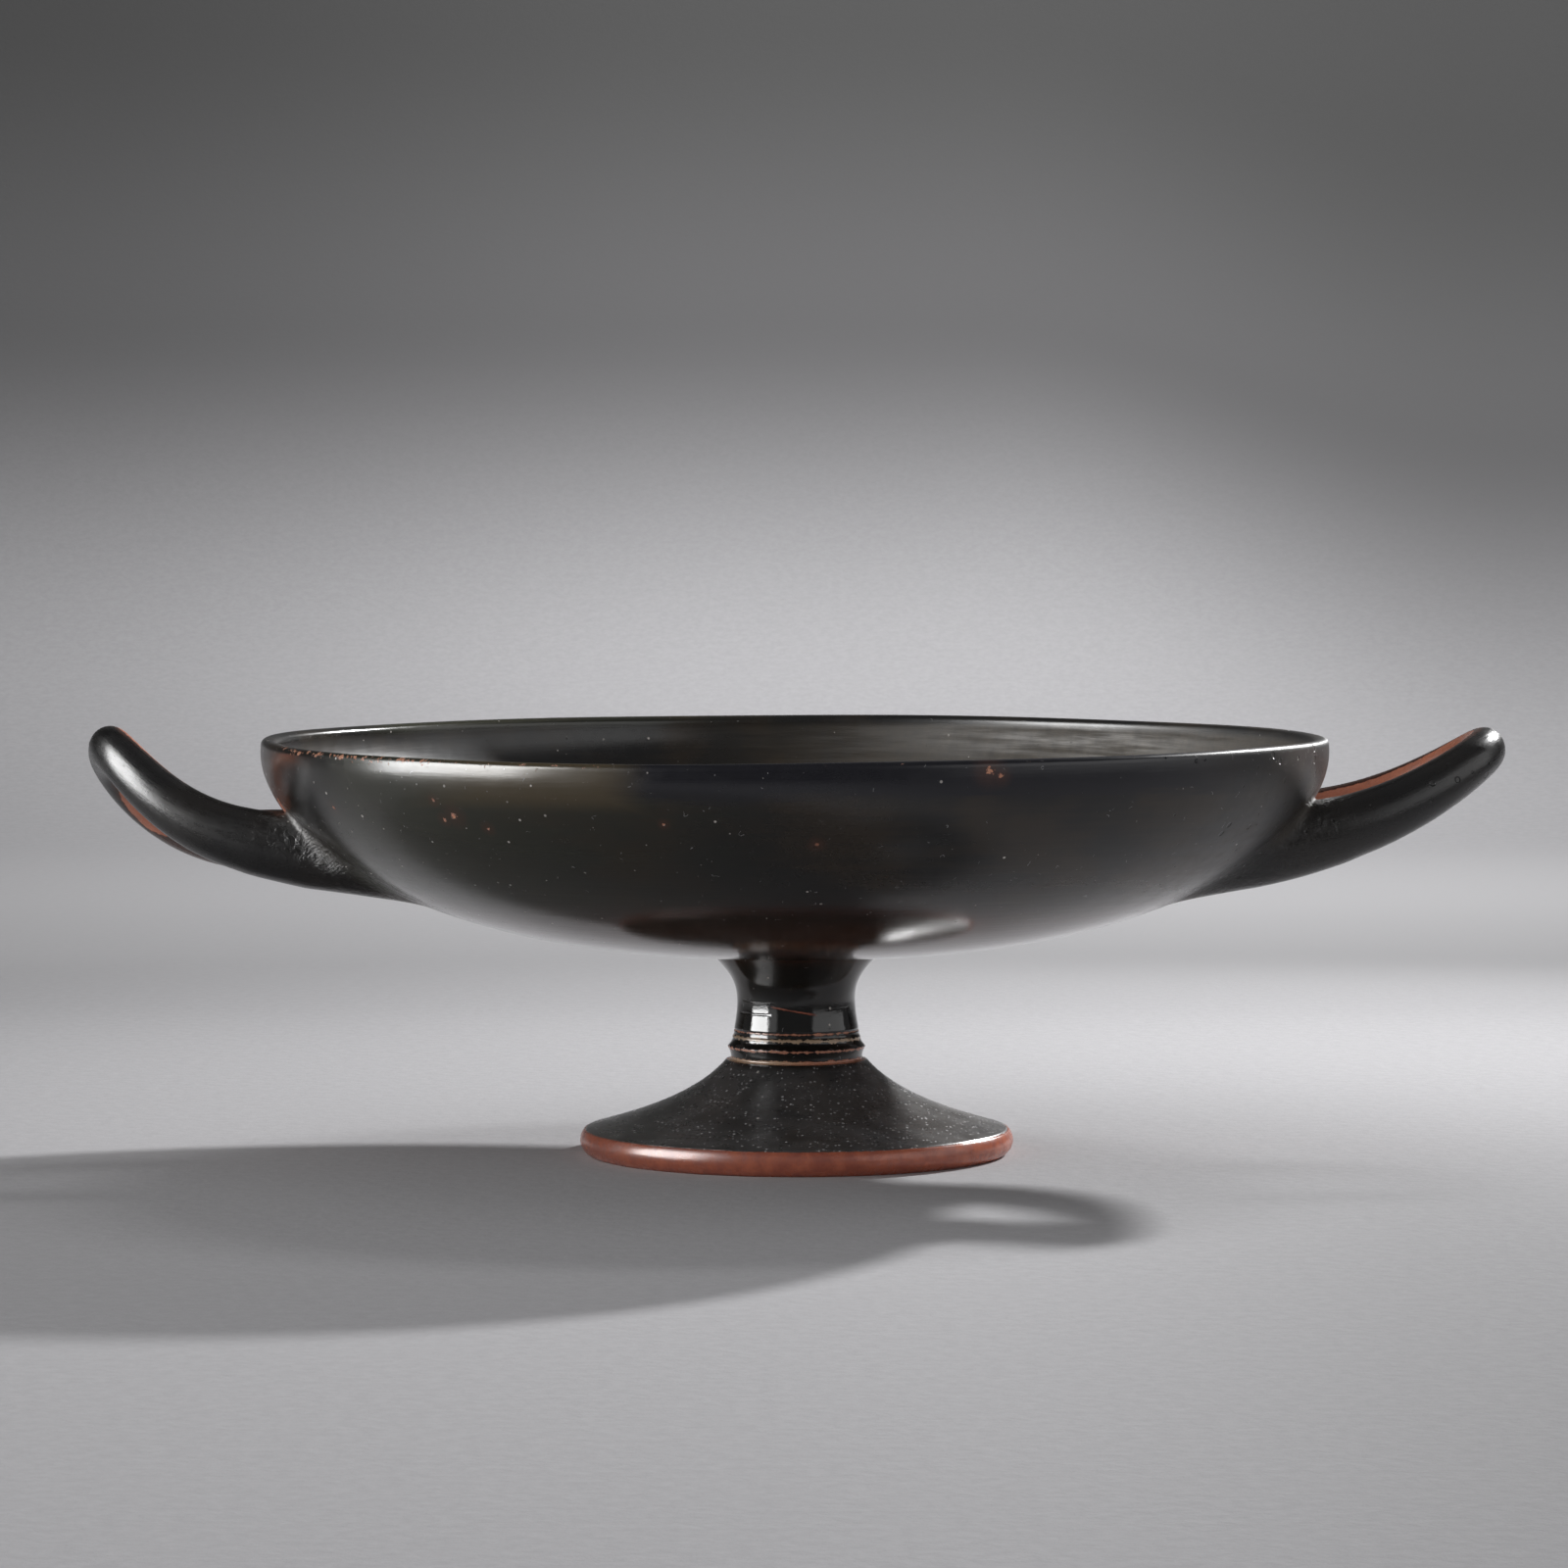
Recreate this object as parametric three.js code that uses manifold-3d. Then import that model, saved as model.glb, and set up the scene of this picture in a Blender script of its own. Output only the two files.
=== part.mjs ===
// A shallow stemmed drinking cup of fired clay under black gloss: a wide bowl with
// a plain lip, a short stem on a disc foot with a bare clay edge, and two flat loop
// handles that leave the bowl's sides level and curl up past the lip.
// Millimetres, +Z up. The origin lies on the surface that the foot rests on, below
// the middle of the cup. The handles point along -X and +X, the front is -Y.
import * as THREE from 'three';
import { mergeVertices } from 'three/addons/utils/BufferGeometryUtils.js';
import Module from 'manifold-3d';

// Bowl
const BOWL_RADIUS = 97.2; // outside, where the lip starts to round
const CUP_HEIGHT = 76.6; // resting surface to lip
const BOWL_BASE_HEIGHT = 37.1; // where the bowl springs from the stem
const BOWL_BASE_RADIUS = 15.64;
const BOWL_FLATNESS = 48.95; // how far the underside runs out almost level
const BOWL_SIDE_RISE = 18.1; // how far the side climbs steeply below the lip
const BOWL_INCURVE = 1.08; // the side leans out this much below the lip
const LIP_ROUNDING = 1.3;
const LIP_WALL = 3.1;
const SIDE_WALL = 4.4;
const FLOOR_WALL = 6.6;

// Stem
const STEM_WAIST_RADIUS = 11.4;
const STEM_WAIST_HEIGHT = 22.9;
const STEM_PINCH = 1.69; // how far the shaft draws in above its foot
const COLLAR_RADIUS = 12.1; // fine band where the shaft starts
const COLLAR_HEIGHT = 21.4;
const FILLET_RADIUS = 12.8; // sharp-edged ring under the band
const FILLET_HEIGHT = 19.9;
const FILLET_DEPTH = 2.4;
const SCORE_DEPTH = 0.5; // turned lines between the mouldings

// Foot
const FOOT_RADIUS = 39.6;
const FOOT_EDGE_HEIGHT = 5.53; // top of the rounded edge
const FOOT_EDGE_WIDTH = 6.2;
const FOOT_NECK_RADIUS = 12.94;
const FOOT_SWEEP = 6.3; // how fast the top of the foot spreads out
const FOOT_SOLE_INNER = 34.6; // inside of the ring that the cup rests on
const HOLLOW_DEPTH = 19.5; // cone under the foot and up into the stem
const HOLLOW_TOP_RADIUS = 3.6;
const FOOT_PLATE = 3.4; // thickness of the foot's disc near its edge

// Handles, alike but for what the potter's hand left
const ARM_HALF_SPREAD = 22.0; // from the loop's middle to the middle of an arm
const ARM_RADIUS = 5.85; // half the height of an arm beside the bowl
const TIP_RADIUS = 4.1;
const ARM_FLATTENING = 0.92; // width of an arm over its height
const ROOT_SPREAD = 1.0; // how much an arm widens where it joins the bowl
const FLARE_OVERHANG = 2.8; // the widening dies out this far past the bowl's side
const ARM_CURVE_START = 25.2; // the loop starts to round this far inside that side
const LEFT_OVERHANG = 28.0; // middle of the clay at the tip, past the bowl's side
const RIGHT_OVERHANG = 28.4;
const LEFT_SQUARENESS = 3.3; // of the loop seen from above: 2 is an ellipse
const RIGHT_SQUARENESS = 2.8;
const LEFT_ARM_HEIGHT = 56.8; // where the arms leave the bowl
const RIGHT_ARM_HEIGHT = 58.4;
const LEFT_CURL = 17.0; // rise from there to the tip
const RIGHT_CURL = 15.5;
const LEFT_CURL_START = 11.0; // it begins this far inside the bowl's side
const RIGHT_CURL_START = 15.9;
const LEFT_CURL_POWER = 3.1; // higher curls later and more sharply
const RIGHT_CURL_POWER = 2.15;
const LEFT_LEAN = 0.2; // at the bowl the front arm sits this much above the middle
const RIGHT_LEAN = -0.2;
const LEFT_DROOP = 3.6; // twist of the loop beyond: back arm down, front arm up
const RIGHT_DROOP = 1.6;
const LEFT_SKEW = 2.7; // back arm longer than the front one
const LEFT_ROOT_FLARE = 1.2; // how much an arm deepens where it joins the bowl
const RIGHT_ROOT_FLARE = 3.4;
const LEFT_ROOT_SINK = 2.0; // and how far its middle line drops there
const RIGHT_ROOT_SINK = 0.6;

// Fineness of the facets
const AROUND = 60;
const BOWL_STEPS = 14;
const STEM_STEPS = 5;
const FOOT_STEPS = 6;
const EDGE_STEPS = 9;
const ARM_STEPS = 30;
const ARM_SIDES = 12;

const v2 = (x, y) => new THREE.Vector2(x, y);
const samples = (curve, steps) => curve.getPoints(steps);

// Outside of the bowl, from the stem to the start of the lip.
const lipStart = v2(BOWL_RADIUS, CUP_HEIGHT - LIP_ROUNDING);
const bowlBase = v2(BOWL_BASE_RADIUS, BOWL_BASE_HEIGHT);
const bowlOutside = new THREE.CubicBezierCurve(
  bowlBase,
  v2(bowlBase.x + BOWL_FLATNESS, bowlBase.y),
  v2(lipStart.x + BOWL_INCURVE, lipStart.y - BOWL_SIDE_RISE),
  lipStart,
);

// Wall thickness along the bowl, from the floor (0) to the lip (1).
function wallAt(t) {
  const low = THREE.MathUtils.lerp(FLOOR_WALL, SIDE_WALL, Math.min(1, t / 0.4));
  const high = Math.max(0, (t - 0.5) / 0.5);
  return THREE.MathUtils.lerp(low, LIP_WALL, high);
}

// A line inside the wall: share 1 is the inside face, 0.5 the middle of the clay.
function insideLine(share) {
  const line = [];
  for (let i = 0; i <= BOWL_STEPS; i++) {
    const t = i / BOWL_STEPS;
    const p = bowlOutside.getPoint(t);
    const along = bowlOutside.getTangent(t);
    const wall = wallAt(t) * share;
    line.push(v2(p.x - along.y * wall, p.y + along.x * wall));
  }
  return line;
}

// Rounded edge of the foot: an ellipse cut off flat by the resting surface.
const edgeHalfWidth = FOOT_EDGE_WIDTH / 2;
const edgeHalfHeight = FOOT_EDGE_HEIGHT * 0.528;
const edgeCentre = v2(FOOT_RADIUS - edgeHalfWidth, FOOT_EDGE_HEIGHT - edgeHalfHeight);
const edgeStart = -Math.asin(edgeCentre.y / edgeHalfHeight);
const edgeEnd = Math.PI * 0.64;
const footEdge = [];
for (let i = 0; i <= EDGE_STEPS; i++) {
  const a = edgeStart + ((edgeEnd - edgeStart) * i) / EDGE_STEPS;
  const x = edgeCentre.x + edgeHalfWidth * Math.cos(a);
  footEdge.push(v2(x, i === 0 ? 0 : edgeCentre.y + edgeHalfHeight * Math.sin(a)));
}
const edgeInner = footEdge[footEdge.length - 1];

// Top of the foot, from the rounded edge up to the mouldings.
const footNeck = v2(FOOT_NECK_RADIUS, FILLET_HEIGHT - FILLET_DEPTH - SCORE_DEPTH / 2);
const footTop = new THREE.QuadraticBezierCurve(
  v2(edgeInner.x - SCORE_DEPTH / 2, edgeInner.y + SCORE_DEPTH / 4),
  v2(footNeck.x + FOOT_SWEEP, (footNeck.y + edgeInner.y) * 0.46),
  footNeck,
);

// Turned mouldings between foot and stem.
const collarTop = (COLLAR_HEIGHT + STEM_WAIST_HEIGHT) / 2 + SCORE_DEPTH;
const mouldings = [
  v2(FILLET_RADIUS - SCORE_DEPTH, FILLET_HEIGHT - FILLET_DEPTH),
  v2(FILLET_RADIUS - SCORE_DEPTH / 2, FILLET_HEIGHT - FILLET_DEPTH + SCORE_DEPTH),
  v2(FILLET_RADIUS, FILLET_HEIGHT),
  v2(COLLAR_RADIUS + SCORE_DEPTH / 4, FILLET_HEIGHT + SCORE_DEPTH),
  v2(COLLAR_RADIUS, COLLAR_HEIGHT),
  v2(COLLAR_RADIUS - SCORE_DEPTH / 2, collarTop),
];

// Shaft of the stem, spreading at its top into the bowl.
const stemHeight = BOWL_BASE_HEIGHT - STEM_WAIST_HEIGHT;
const stemSide = new THREE.CubicBezierCurve(
  v2(STEM_WAIST_RADIUS, STEM_WAIST_HEIGHT),
  v2(STEM_WAIST_RADIUS - STEM_PINCH, STEM_WAIST_HEIGHT + stemHeight * 0.6),
  v2(STEM_WAIST_RADIUS + 0.24, BOWL_BASE_HEIGHT - stemHeight * 0.32),
  bowlBase,
);

// Lip, a small round from the outside over to the inside face.
const inside = insideLine(1);
const insideTop = inside[inside.length - 1];
const crest = v2(BOWL_RADIUS - LIP_ROUNDING, CUP_HEIGHT);
const lipOuter = new THREE.QuadraticBezierCurve(lipStart, v2(BOWL_RADIUS, CUP_HEIGHT), crest);
const lipInner = new THREE.QuadraticBezierCurve(
  crest,
  v2(insideTop.x, CUP_HEIGHT),
  insideTop,
);

// Underside: a low dish under the disc that runs up as a cone into the stem.
const hollowTop = v2(HOLLOW_TOP_RADIUS, HOLLOW_DEPTH);
const soleStep = v2(FOOT_SOLE_INNER - SCORE_DEPTH, FOOT_EDGE_HEIGHT - FOOT_PLATE);
const underside = new THREE.CubicBezierCurve(
  hollowTop,
  v2(HOLLOW_TOP_RADIUS + 1.6, HOLLOW_DEPTH * 0.38),
  v2(FOOT_SOLE_INNER * 0.45, soleStep.y + FOOT_PLATE),
  soleStep,
);

// The whole turned body as one closed outline, from the hollow's top around the
// foot, up the outside, over the lip and down the inside to the middle of the floor.
const outline = [
  v2(0, HOLLOW_DEPTH + HOLLOW_TOP_RADIUS * 0.5),
  ...samples(underside, FOOT_STEPS),
  v2(FOOT_SOLE_INNER, 0),
  ...footEdge,
  ...samples(footTop, FOOT_STEPS),
  ...mouldings,
  ...samples(stemSide, STEM_STEPS),
  ...samples(bowlOutside, BOWL_STEPS).slice(1),
  ...samples(lipOuter, 2).slice(1),
  ...samples(lipInner, 2).slice(1),
  ...inside.slice(0, -1).reverse(),
  v2(0, inside[0].y),
];

// Everything inside the middle of the bowl's wall: the handles end there.
const midWall = insideLine(0.5);
const midTop = midWall[midWall.length - 1];
const coreOutline = [
  v2(0, midWall[0].y),
  ...midWall,
  v2(midTop.x, CUP_HEIGHT + LEFT_CURL + RIGHT_CURL),
  v2(0, CUP_HEIGHT + LEFT_CURL + RIGHT_CURL),
];

// Radius of the bowl's outside at a height.
function bowlRadiusAt(height) {
  let low = 0;
  let high = 1;
  for (let i = 0; i < 40; i++) {
    const mid = (low + high) / 2;
    if (bowlOutside.getPoint(mid).y < height) low = mid;
    else high = mid;
  }
  return bowlOutside.getPoint(low).x;
}

// How much of an arm's widening is there, from 0 clear of the bowl to 1 in its wall.
function flareAt(reach) {
  const end = BOWL_RADIUS + FLARE_OVERHANG;
  const span = FLARE_OVERHANG + ARM_CURVE_START;
  return Math.pow(THREE.MathUtils.clamp((end - reach) / span, 0, 1), 1.3);
}

// Middle line of one handle: in from the bowl, round the loop and back. x is
// the reach from the cup's axis, whichever side the handle is on.
class HandleLine extends THREE.Curve {
  constructor(spec) {
    super();
    this.spec = spec;
    this.tip = BOWL_RADIUS + spec.overhang;
    this.start = BOWL_RADIUS - ARM_CURVE_START;
    this.curlStart = BOWL_RADIUS - spec.curlStart;
    const rootBottom = spec.height - ARM_RADIUS - spec.flare - spec.sink - SIDE_WALL;
    const clear = bowlRadiusAt(rootBottom) - FLOOR_WALL;
    this.buried = Math.min(
      this.start - ARM_RADIUS,
      Math.sqrt(Math.max(1, clear * clear - ARM_HALF_SPREAD * ARM_HALF_SPREAD)),
    );
  }

  getPoint(t) {
    const straight = 0.06;
    const turn = THREE.MathUtils.clamp((t - straight) / (1 - 2 * straight), 0, 1);
    const angle = Math.PI * turn;
    const power = 2 / this.spec.squareness;
    const out = Math.pow(Math.abs(Math.sin(angle)), power);
    const side = -Math.sign(Math.cos(angle)) * Math.pow(Math.abs(Math.cos(angle)), power);
    let reach = this.start + (this.tip - this.start) * out;
    if (t < straight) reach = THREE.MathUtils.lerp(this.buried, this.start, t / straight);
    if (t > 1 - straight) {
      reach = THREE.MathUtils.lerp(this.buried, this.start, (1 - t) / straight);
    }
    const rise = Math.max(0, (reach - this.curlStart) / (this.tip - this.curlStart));
    const z = this.spec.height
      + this.spec.curl * Math.pow(rise, this.spec.power)
      - (this.spec.lean + this.spec.droop * rise) * side
      - this.spec.sink * flareAt(reach);
    return new THREE.Vector3(
      reach + this.spec.skew * side * rise,
      ARM_HALF_SPREAD * side,
      z,
    );
  }
}

// Height and width radii of an arm at a reach from the cup's axis.
function armSection(reach, tip, rootFlare) {
  const flare = flareAt(reach);
  const along = THREE.MathUtils.clamp((reach - BOWL_RADIUS) / (tip - BOWL_RADIUS), 0, 1);
  const radius = THREE.MathUtils.lerp(ARM_RADIUS, TIP_RADIUS, along);
  return {
    high: radius + rootFlare * flare,
    wide: radius * ARM_FLATTENING + ROOT_SPREAD * flare,
  };
}

// One handle as a closed body: rings of points around its middle line.
function handleGeometry(side, spec) {
  const line = new HandleLine(spec);
  line.arcLengthDivisions = 400;
  const up = new THREE.Vector3(0, 0, 1);
  const points = [];
  const faces = [];
  for (let i = 0; i <= ARM_STEPS; i++) {
    const centre = line.getPointAt(i / ARM_STEPS);
    const along = line.getTangentAt(i / ARM_STEPS);
    const across = new THREE.Vector3().crossVectors(along, up).normalize();
    const over = new THREE.Vector3().crossVectors(across, along);
    const { high, wide } = armSection(centre.x, line.tip, spec.flare);
    for (let j = 0; j < ARM_SIDES; j++) {
      const a = (2 * Math.PI * j) / ARM_SIDES;
      const p = centre.clone();
      p.addScaledVector(across, Math.cos(a) * wide);
      p.addScaledVector(over, Math.sin(a) * high);
      points.push(side * p.x, p.y, p.z);
    }
  }
  const quad = (a, b, c, d) => {
    if (side > 0) faces.push(a, b, c, a, c, d);
    else faces.push(a, c, b, a, d, c);
  };
  for (let i = 0; i < ARM_STEPS; i++) {
    for (let j = 0; j < ARM_SIDES; j++) {
      const k = (j + 1) % ARM_SIDES;
      const a = i * ARM_SIDES;
      quad(a + j, a + ARM_SIDES + j, a + ARM_SIDES + k, a + k);
    }
  }
  const last = ARM_STEPS * ARM_SIDES;
  for (let j = 1; j < ARM_SIDES - 1; j++) {
    if (side > 0) faces.push(0, j, j + 1, last, last + j + 1, last + j);
    else faces.push(0, j + 1, j, last, last + j, last + j + 1);
  }
  const geometry = new THREE.BufferGeometry();
  geometry.setAttribute('position', new THREE.Float32BufferAttribute(points, 3));
  geometry.setIndex(faces);
  return geometry;
}

const wasm = await Module();
wasm.setup();

function toSolid(geometry) {
  const bare = geometry.clone();
  bare.deleteAttribute('normal');
  bare.deleteAttribute('uv');
  const merged = mergeVertices(bare, 1e-4);
  const vertProperties = new Float32Array(merged.attributes.position.array);
  const triVerts = new Uint32Array(merged.index.array);
  return new wasm.Manifold(new wasm.Mesh({ numProp: 3, vertProperties, triVerts }));
}

// A turned body: the outline swept around Y, then stood up along Z.
function turned(points) {
  const geometry = new THREE.LatheGeometry(points, AROUND);
  geometry.rotateX(Math.PI / 2);
  return toSolid(geometry);
}

const leftHandle = toSolid(handleGeometry(-1, {
  overhang: LEFT_OVERHANG,
  squareness: LEFT_SQUARENESS,
  height: LEFT_ARM_HEIGHT,
  curl: LEFT_CURL,
  curlStart: LEFT_CURL_START,
  power: LEFT_CURL_POWER,
  lean: LEFT_LEAN,
  droop: LEFT_DROOP,
  skew: LEFT_SKEW,
  flare: LEFT_ROOT_FLARE,
  sink: LEFT_ROOT_SINK,
}));
const rightHandle = toSolid(handleGeometry(1, {
  overhang: RIGHT_OVERHANG,
  squareness: RIGHT_SQUARENESS,
  height: RIGHT_ARM_HEIGHT,
  curl: RIGHT_CURL,
  curlStart: RIGHT_CURL_START,
  power: RIGHT_CURL_POWER,
  lean: RIGHT_LEAN,
  droop: RIGHT_DROOP,
  skew: 0,
  flare: RIGHT_ROOT_FLARE,
  sink: RIGHT_ROOT_SINK,
}));

// The cup was fired as one piece: body and both handles are one solid.
const body = turned(outline);
const core = turned(coreOutline);
const cup = body.add(leftHandle.subtract(core)).add(rightHandle.subtract(core));

const found = cup.getMesh();
const cupGeometry = new THREE.BufferGeometry();
cupGeometry.setAttribute('position', new THREE.BufferAttribute(found.vertProperties, 3));
cupGeometry.setIndex(new THREE.BufferAttribute(found.triVerts, 1));
cupGeometry.computeVertexNormals();

const blackGloss = new THREE.MeshStandardMaterial({
  color: 0x17161a,
  roughness: 0.28,
  metalness: 0,
});

const cupMesh = new THREE.Mesh(cupGeometry, blackGloss);
cupMesh.name = 'kylix_cup';

const group = new THREE.Group();
group.add(cupMesh);

export default group;
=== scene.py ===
import math
from types import SimpleNamespace

import bpy
import numpy as np
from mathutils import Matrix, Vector, kdtree


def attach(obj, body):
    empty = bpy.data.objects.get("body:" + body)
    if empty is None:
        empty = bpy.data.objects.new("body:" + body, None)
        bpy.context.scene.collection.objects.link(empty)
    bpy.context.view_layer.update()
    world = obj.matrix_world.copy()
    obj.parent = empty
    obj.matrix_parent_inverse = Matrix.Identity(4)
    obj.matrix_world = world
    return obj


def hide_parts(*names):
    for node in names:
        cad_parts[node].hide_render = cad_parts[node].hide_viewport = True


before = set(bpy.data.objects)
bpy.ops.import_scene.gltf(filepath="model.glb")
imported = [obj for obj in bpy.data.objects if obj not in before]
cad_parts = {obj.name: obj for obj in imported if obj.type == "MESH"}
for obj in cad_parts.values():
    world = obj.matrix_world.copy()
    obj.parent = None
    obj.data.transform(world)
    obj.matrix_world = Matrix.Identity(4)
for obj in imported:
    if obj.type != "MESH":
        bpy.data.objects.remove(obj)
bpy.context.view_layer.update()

# Sizes are in millimetres, and become metres when a mesh is made.
MM = 0.001

# Bowl, as in the solid
BOWL_RADIUS = 97.2
CUP_HEIGHT = 76.6
BOWL_BASE = (15.64, 37.1)
BOWL_FLATNESS = 48.95
BOWL_SIDE_RISE = 18.1
BOWL_INCURVE = 1.08
LIP_ROUNDING = 1.3
LIP_FROM = 66  # height above which the wall is meshed finer and the rim is out of true
LIP_WALL, SIDE_WALL, FLOOR_WALL = 3.1, 4.4, 6.6

# Stem and mouldings
STEM_WAIST = (11.4, 22.9)
STEM_PINCH = 1.69
COLLAR = (12.1, 21.4)
FILLET = (12.8, 19.9)
FILLET_DEPTH = 2.4
SCORE_DEPTH = 0.5

# Foot
FOOT_RADIUS = 39.6
FOOT_EDGE_HEIGHT = 5.53
FOOT_EDGE_WIDTH = 6.2
FOOT_EDGE_CREST = 0.528  # share of the edge's height from its widest line to its top
FOOT_NECK_RADIUS = 12.94
BARE_EDGE_TURN = 41  # degrees up round the foot's edge, where the gloss starts
FOOT_SOLE_INNER = 34.6
HOLLOW_DEPTH = 19.5
HOLLOW_TOP_RADIUS = 3.6
FOOT_PLATE = 3.4

# Handles
ARM_HALF_SPREAD = 22.0
ARM_RADIUS = 5.85
TIP_RADIUS = 4.05
ARM_FLATTENING = 0.92
ROOT_SPREAD = 1.0
FLARE_OVERHANG = 2.8
FLARE_POWER = 1.3
ARM_CURVE_START = 25.2
ARM_STRAIGHT = 0.06  # share of the middle line at each end that runs straight into the wall
ARM_BURIED = 22  # length of that straight stretch
BARE_HALF_TURN = 74  # degrees of a handle's inner face that are bare, each way from its middle
NOT_BARE = -9.0  # what the rest of the cup says, in mm inside the bare face's edge
HANDLES = {
    "left": SimpleNamespace(
        side=-1, overhang=27.95, squareness=3.3, height=56.8, curl=16.86, curl_start=11.0,
        power=3.1, lean=0.2, droop=3.6, skew=2.7, flare=1.2, sink=2.0,
    ),
    "right": SimpleNamespace(
        side=1, overhang=28.38, squareness=2.8, height=58.4, curl=15.5, curl_start=15.9,
        power=2.15, lean=-0.2, droop=1.6, skew=0.0, flare=3.4, sink=0.6,
    ),
}

# Where an arm's clay is smoothed out onto the bowl
ROOT_REACH_OVER = 1.3
ROOT_REACH_INNER, ROOT_REACH_OUTER = 3.5, 6.5
ROOT_FULLNESS = 0.42
ROOT_SINK = 0.06  # how deep under the bowl's surface the smoothed clay ends
ROOT_TUCK = (1.1, 0.6)  # the last ring's depth under the surface, and its step back
CAP_DEPTH = 1.8

# What the hand and the kiln left: small shifts from a true turned form
FOOT_SHIFT = 0.33  # the foot sits this much to the right of the bowl's axis
FOOT_SHIFT_FADE = (20, 45)  # heights between which that shift fades out
RIM_DIP = 0.9  # the rim is lower at the front left
RIM_DIP_TURN = math.radians(-128)
RIM_DIP_SPREAD = math.radians(48)
RIM_OVAL = 0.12  # the rim is narrower from side to side than from front to back
RIM_WAVES = ((0.1, 3, 0.7), (0.07, 7, 2.1))  # depth, count round the rim, and phase
RIM_WAVES_DEPTH = 0.17  # both together, so that the rim only goes down

# Fineness of the mesh
AROUND = 288  # points round the foot, the stem and most of the bowl
AROUND_LIP = 576
LIP_ZONE_START = 0.865  # place on the bowl's outside, from 0 to 1, where the finer mesh starts
ARM_COLUMNS = 44  # points round an arm
ARM_RINGS = 130
FILLET_RINGS = 9


def smooth(low, high, x):
    """0 below low, 1 above high, and a smooth step between them."""
    t = np.clip((np.asarray(x, float) - low) / (high - low), 0, 1)
    return t * t * (3 - 2 * t)


def lerp(a, b, t):
    return a + (b - a) * t


def bezier(points, t):
    """Points of a Bezier curve that has these control points."""
    t = np.atleast_1d(np.asarray(t, float))[:, None]
    layer = [np.asarray(p, float)[None, :] for p in points]
    while len(layer) > 1:
        layer = [a * (1 - t) + b * t for a, b in zip(layer, layer[1:])]
    return layer[0]


def unit(v):
    return v / np.maximum(np.linalg.norm(v, axis=-1, keepdims=True), 1e-12)


def bowl_outside(t):
    """Outside of the bowl, from the stem (0) to the start of the lip (1)."""
    start = (BOWL_RADIUS, CUP_HEIGHT - LIP_ROUNDING)
    return bezier([
        BOWL_BASE,
        (BOWL_BASE[0] + BOWL_FLATNESS, BOWL_BASE[1]),
        (start[0] + BOWL_INCURVE, start[1] - BOWL_SIDE_RISE),
        start,
    ], t)


def bowl_inside(t):
    """Inside face of the bowl, a wall's thickness in from the outside."""
    t = np.asarray(t, float)
    step = 1e-4
    along = unit(bowl_outside(t + step) - bowl_outside(t - step))
    low = lerp(FLOOR_WALL, SIDE_WALL, np.minimum(1, t / 0.4))
    wall = lerp(low, LIP_WALL, np.maximum(0, (t - 0.5) / 0.5))
    return bowl_outside(t) + wall[:, None] * np.stack([-along[:, 1], along[:, 0]], 1)


BOWL_TABLE = bowl_outside(np.linspace(0, 1, 2001))


def bowl_radius(z):
    return np.interp(z, BOWL_TABLE[:, 1], BOWL_TABLE[:, 0])


def bowl_slope(z):
    """How fast the bowl's radius grows with height."""
    step = 0.05
    return (bowl_radius(z + step) - bowl_radius(z - step)) / (2 * step)


def bowl_gap(p):
    """Distance from the bowl's outside to points, below zero inside it."""
    spread = np.hypot(p[..., 0], p[..., 1]) - bowl_radius(p[..., 2])
    return spread / np.sqrt(1 + bowl_slope(p[..., 2]) ** 2)


def bowl_normal(p):
    """Direction that faces out of the bowl beside points."""
    radial = np.hypot(p[..., 0], p[..., 1])
    n = np.stack([p[..., 0] / radial, p[..., 1] / radial, -bowl_slope(p[..., 2])], -1)
    return unit(n)


def foot_edge():
    """Rounded edge of the foot, from the resting surface up to where the black gloss starts."""
    half = np.array([FOOT_EDGE_WIDTH / 2, FOOT_EDGE_HEIGHT * FOOT_EDGE_CREST])
    centre = np.array([FOOT_RADIUS - half[0], FOOT_EDGE_HEIGHT - half[1]])
    a = np.linspace(-math.asin(centre[1] / half[1]), math.radians(BARE_EDGE_TURN), 24)
    p = centre + half * np.stack([np.cos(a), np.sin(a)], 1)
    p[0, 1] = 0
    return p


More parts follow.
